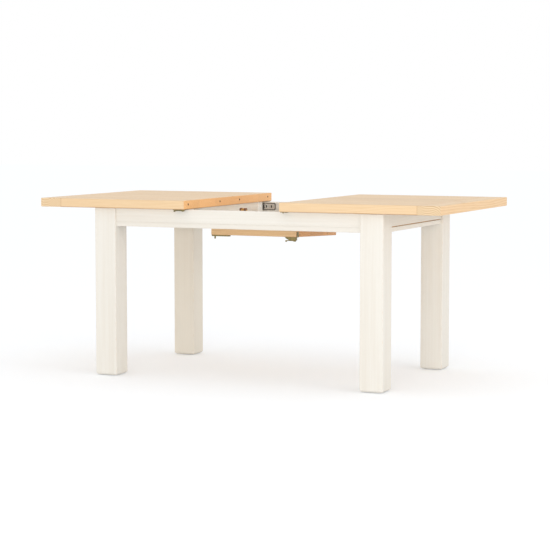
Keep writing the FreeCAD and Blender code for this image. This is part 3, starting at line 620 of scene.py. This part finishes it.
def shaded_lower_arris(tree, place, wood):
    """Painted shade: a brown line on the lower arris, for the shadow in the narrow gap over the apron."""
    lift = calc(tree, "SUBTRACT", split(tree, place)[2], top_low.z)
    mask = calc(tree, "MULTIPLY", ramp(tree, lift, low=0.0030, high=0.0012), arris_shade_strength)
    return on_edges(tree, mask), wood, arris_shade_brown


def joint_shadow(tree, place, wood):
    """Dark glue line where the boards meet the breadboard."""
    outward = calc(tree, "ABSOLUTE", split(tree, place)[0])
    off = calc(tree, "ABSOLUTE", calc(tree, "SUBTRACT", outward, joint_x))
    return calc(tree, "MULTIPLY", ramp(tree, off, low=0.0022, high=0.0006), glue_strength), wood, glue_brown


def deeper_outer_edge(tree, place, wood):
    """Deeper, more orange tone on the faces that look along X, the long outer edge."""
    return ramp(tree, facing_along(tree, 0), low=0.6, high=0.9), wood, outer_edge_tint, "MULTIPLY"


pale_pine, ring_pine = (0.79, 0.585, 0.36, 1), (0.655, 0.435, 0.225, 1)
# Painted light: the orange cut-end tint is lifted above 1 in red to brighten faces the lamps reach little.
soaked_and_lit_end, cool_end = (1.22, 0.96, 0.67, 1), (0.98, 1.03, 1.08, 1)
board_pine = pine(
    "oiled_boards", along_x, "top_boards_right", pale_pine, ring_pine, board=(top_low.y, board_width),
    end_tint=soaked_and_lit_end, end_rings=0.5, stains=(joint_shadow, shaded_lower_arris, dark_holes),
)
breadboard_pine = pine(
    "oiled_breadboard", along_y, "breadboard_right", pale_pine, ring_pine, end_tint=cool_end,
    end_rings=0.65, spacing=0.007, stains=(joint_shadow, deeper_outer_edge),
)
dress(board_pine, "top_boards_left", "top_boards_right")
dress(breadboard_pine, "breadboard_left", "breadboard_right")


# Dowels: fluted beech pins with chamfered tips, glued into the meeting edge of the right half and into
# the left end of each leaf panel. They enter the plain holes opposite and keep the edges level.

pale_beech, ring_beech = (0.70, 0.50, 0.31, 1), (0.55, 0.36, 0.20, 1)
beech_strip = 0.01
beech = pine(
    "beech", along_x, "top_dowels_right", pale_beech, ring_beech, board=(top_low.y, beech_strip),
    rough=0.55, spacing=0.002,
)
dowel_length = 0.034
dowel_stand = 0.010
dowel_sides = 24
flute_share = 0.93
tip_chamfer = 0.0009


def fluted_dowels(node, body, tips, lay=Matrix()):
    """Dowels in place of a CAD node's, each laid from its tip, with every other side drawn in as a flute."""
    mesh = bmesh.new()
    for tip_x, y, z in tips:
        lie = Matrix.Translation((tip_x + dowel_length / 2, y, z)) @ Matrix.Rotation(radians(90), 4, "Y")
        made = bmesh.ops.create_cone(
            mesh, cap_ends=True, segments=dowel_sides, radius1=dowel_radius, radius2=dowel_radius,
            depth=dowel_length, matrix=lie,
        )["verts"]
        axis = Vector((y, z))
        for vert in made:
            around = vert.co.yz - axis
            if round(around.angle_signed(Vector((1, 0))) / radians(360 / dowel_sides)) % 2:
                vert.co.yz = axis + around * flute_share
    rims = [edge for edge in mesh.edges if any(len(face.verts) > 4 for face in edge.link_faces)]
    bmesh.ops.bevel(
        mesh, geom=rims, offset=tip_chamfer, affect="EDGES", segments=1, profile=0.5, material=-1
    )
    bmesh.ops.recalc_face_normals(mesh, faces=mesh.faces)
    bmesh.ops.transform(mesh, matrix=lay, verts=mesh.verts)
    piece = keep_piece(mesh, node + "_fluted", beech, body)
    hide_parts(node)


top_tips = [(top_low.x - dowel_stand, way * y, dowel_z) for way in (-1, 1) for y in dowel_ys]
fluted_dowels("top_dowels_right", "half_right", top_tips)


# Battens: whitewashed bars screwed up under each half from below. The long pair carries the runners and
# the flat one across keeps the boards from cupping. Their coat is whiter than the frame's, painted light
# against the shade under the halves.

# Painted light: a whiter coat than the frame's, against the shade under the halves.
lit_batten_white = (0.93, 0.895, 0.83, 1)
batten_paint = painted("batten_whitewash", along_x, "batten_right_back", rub=0.2, coat=lit_batten_white)
cross_paint = painted("cross_whitewash", along_y, "cross_batten_right", coat=lit_batten_white)
batten_low, batten_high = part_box("batten_right_back")
cross_low, cross_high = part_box("cross_batten_right")
batten_y = (batten_low.y + batten_high.y) / 2
cross_x = (cross_low.x + cross_high.x) / 2
batten_screw = (0.0045, 0.0006)
batten_screw_steps = (0.042, 0.167, 0.267)
batten_screw_xs = [batten_low.x + step for step in batten_screw_steps]
cross_screw_ys = (-0.26, -0.09, 0.09, 0.26)
for hand, side in (("left", -1), ("right", 1)):
    dress(batten_paint, f"batten_{hand}_front", f"batten_{hand}_back")
    dress(cross_paint, f"cross_batten_{hand}")
    batten_spots = [
        ((side * x, way * batten_y, batten_low.z), downward) for way in (-1, 1) for x in batten_screw_xs
    ]
    batten_spots += [((side * cross_x, y, cross_low.z), downward) for y in cross_screw_ys]
    screw_heads(
        f"batten_screws_{hand}", f"half_{hand}", batten_spots, batten_screw, screw_zinc
    )


# Leaf: two pine panels of three boards, folded face to face and hung under the gap with the front edge
# a little up. The back one turns over on hardwood arms, and brass link hinges in the fold let the front
# one open.

hang_angle = radians(-2.3)
hang_turn = Matrix.Rotation(hang_angle, 4, "X")
hang = Matrix.Translation(leaf_pivot) @ hang_turn @ Matrix.Translation(-leaf_pivot)
leaf_lay = (leaf_pivot, hang_angle)
leaf_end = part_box("leaf_boards_front")[1].x
fold_y = top_high.y / 2
fold_gap = 0.0005
top_level = top_high.z
back_face = 2 * leaf_pivot.z - top_level
front_face = back_face - fold_gap
fold_level = (front_face + back_face) / 2
leaf_arris_shade_strength = 0.5
show_face_lift = (1.16, 1.30, 1.53, 1)


def from_fold(tree, place):
    return calc(tree, "ABSOLUTE", calc(tree, "SUBTRACT", split(tree, place)[2], fold_level))


def shaded_leaf_arris(tree, place, wood):
    """Painted shade: a brown line on the outer arrises of the leaf's two undersides."""
    arris = ramp(tree, from_fold(tree, place), low=0.0252, high=0.0268)
    return on_edges(tree, calc(tree, "MULTIPLY", arris, leaf_arris_shade_strength)), wood, arris_shade_brown


def unshaded_show_face(tree, place, wood):
    """Show faces, folded inward, lifted back to the top's colour, free of the leaf's painted shade."""
    return ramp(tree, from_fold(tree, place), low=0.0032, high=0.0022), wood, show_face_lift, "MULTIPLY"


# Painted shade: the leaf's pine is darker than the top's, for the shade it hangs in under the table.
shaded_leaf_pale, shaded_leaf_ring = (0.68, 0.45, 0.235, 1), (0.55, 0.33, 0.15, 1)
leaf_end_tint = (1.16, 0.90, 0.64, 1)
leaf_pine = pine(
    "oiled_leaf", along_x, "leaf_boards_front", shaded_leaf_pale, shaded_leaf_ring,
    board=(fold_y - top_high.y, board_width), lay=leaf_lay, end_tint=leaf_end_tint,
    stains=(shaded_leaf_arris, unshaded_show_face),
)
arm_wood = pine("stained_arm", along_y, "leaf_arms", lay=leaf_lay, **hardwood)
dress(leaf_pine, "leaf_boards_front", "leaf_boards_back")
dress(arm_wood, "leaf_arms")
dress(brass, "fold_plates_front", "fold_plates_back", "fold_links")
leaf_dowel_ys = (fold_y - dowel_ys[1], fold_y - dowel_ys[0])
hinge_screw = (0.0024, 0.0001)
hinge_shares = (-0.34, 0.34)
hinge_screw_reach = 0.0132
hinge_screw_inset = 0.0085
hinge_screw_xs = [
    share * 2 * leaf_end + way * hinge_screw_reach for share in hinge_shares for way in (-1, 1)
]
for panel, face, out in (("front", front_face, 1), ("back", back_face, -1)):
    level = face - out * (top_level - dowel_z)
    leaf_tips = [(-leaf_end - dowel_stand, y, level) for y in leaf_dowel_ys]
    fluted_dowels(f"leaf_dowels_{panel}", f"leaf_{panel}", leaf_tips, hang)
    hinge_spots = [((x, fold_y - hinge_screw_inset, face), (0, 0, out)) for x in hinge_screw_xs]
    screw_heads(f"hinge_screws_{panel}", f"leaf_{panel}", hinge_spots, hinge_screw, brass, hang)


# Latches: pressed straps, hook levers and keepers of yellow zinc-plated steel, screwed under the corners
# of the halves and the leaf. Each lever swings out and hooks round the post of the keeper opposite.

yellow, olive = (0.30, 0.235, 0.10, 1), (0.17, 0.15, 0.075, 1)
yellow_zinc = plated("yellow_zinc", yellow, olive, rough=0.38, clouds=90.0)
dress(yellow_zinc, "latch_bases_left", "latch_keepers_right")
dress(yellow_zinc, "latch_lever_left_front", "latch_lever_left_back")
latch_inset = 0.018
latch_y = top_high.y - latch_inset
latch_sheet = 0.002
plate_z = top_low.z - latch_sheet
latch_screw = (0.003, 0.0006)
base_screw_inset, base_screw_reach = 0.036, 0.0095
keeper_screw_inset, keeper_screw_reach = 0.024, 0.007


def plate_spots(x, reach):
    """A pair of screws in the plate under each corner of a half."""
    ys = [way * latch_y + part * reach for way in (-1, 1) for part in (-1, 1)]
    return [((x, y, plate_z), downward) for y in ys]


left_spots = plate_spots(-top_low.x - base_screw_inset, base_screw_reach)
right_spots = plate_spots(top_low.x + keeper_screw_inset, keeper_screw_reach)
screw_heads("latch_screws_left", "half_left", left_spots, latch_screw, yellow_zinc)
screw_heads("latch_screws_right", "half_right", right_spots, latch_screw, yellow_zinc)
strap_y = fold_y - latch_y
strap_screw = (0.003, 0.0002)
strap_screw_reach = 0.007
strap_screw_drop = 0.015
leaf_thickness = 0.027
keeper_pad = 0.006
pad_screw_steps = (0.024, 0.044)
for panel, face, out in (("front", front_face, -1), ("back", back_face, 1)):
    dress(yellow_zinc, f"leaf_latch_base_{panel}", f"leaf_latch_lever_{panel}", f"leaf_keeper_{panel}")
    pad_face = face + out * (leaf_thickness + keeper_pad)
    strap_level = face + out * strap_screw_drop
    strap_spots = [((step - leaf_end, strap_y, pad_face), (0, 0, out)) for step in pad_screw_steps]
    for side in (-1, 1):
        for way in (-1, 1):
            y = strap_y + way * strap_screw_reach
            strap_spots.append(((side * leaf_end, y, strap_level), (side, 0, 0)))
    screw_heads(
        f"strap_screws_{panel}", f"leaf_{panel}", strap_spots, strap_screw, yellow_zinc, hang
    )


# Studio: a white sweep of floor under an even white sky, with a long soft light in front of the table
# and a weaker one, higher up, off its right end.

floor_reach = 30.0
floor_mesh = bmesh.new()
bmesh.ops.create_grid(floor_mesh, x_segments=1, y_segments=1, size=floor_reach)
floor_data = bpy.data.meshes.new("studio_floor")
floor_mesh.to_mesh(floor_data)
floor_mesh.free()
floor_white, _, floor_shader = new_material("studio_white")
floor_shader["Base Color"].default_value = (0.84, 0.85, 0.86, 1)
floor_shader["Roughness"].default_value = 1.0
floor_shader["Specular IOR Level"].default_value = 0.0
floor_shader["Emission Color"].default_value = (0.92, 0.95, 1.0, 1)
floor_shader["Emission Strength"].default_value = 0.16
floor_data.materials.append(floor_white)
floor = bpy.data.objects.new("studio_floor", floor_data)
bpy.context.scene.collection.objects.link(floor)
world = bpy.data.worlds.new("studio_sky")
world.use_nodes = True
sky = world.node_tree.nodes["Background"].inputs
sky["Color"].default_value = (1, 1, 1, 1)
sky["Strength"].default_value = 1.0
bpy.context.scene.world = world
bpy.context.scene.view_settings.view_transform = "Standard"


def soft_light(name, place, target, size, power):
    data = bpy.data.lights.new(name, "AREA")
    data.shape = "RECTANGLE"
    data.size, data.size_y = size
    data.energy = power
    lamp = bpy.data.objects.new(name, data)
    lamp.location = place
    lamp.rotation_euler = (Vector(target) - Vector(place)).to_track_quat("-Z", "Y").to_euler()
    bpy.context.scene.collection.objects.link(lamp)


soft_light("front_softbox", place=(1.7, -6.5, 1.12), target=(0, 0, 0.55), size=(1.9, 0.5), power=92)
soft_light("side_softbox", place=(6.0, -1.6, 1.7), target=(0, 0, 0.5), size=(2.6, 0.9), power=48)


# Camera: the photograph's view, from in front of the right end and a little above the top, turned to the
# left. A long lens with a slight shift frames the table as the photograph does.

camera_dip, camera_turn = 0.084, 0.4219
camera = bpy.data.objects.new("camera", bpy.data.cameras.new("camera"))
camera.location = (3.16965, -7.06203, 1.11328)
camera.rotation_euler = (pi / 2 - camera_dip, 0, camera_turn)
camera.data.sensor_width = 36.0
camera.data.lens = 115.32
camera.data.shift_y = -0.0139
camera.data.clip_end = 100.0
bpy.context.scene.collection.objects.link(camera)
bpy.context.scene.camera = camera
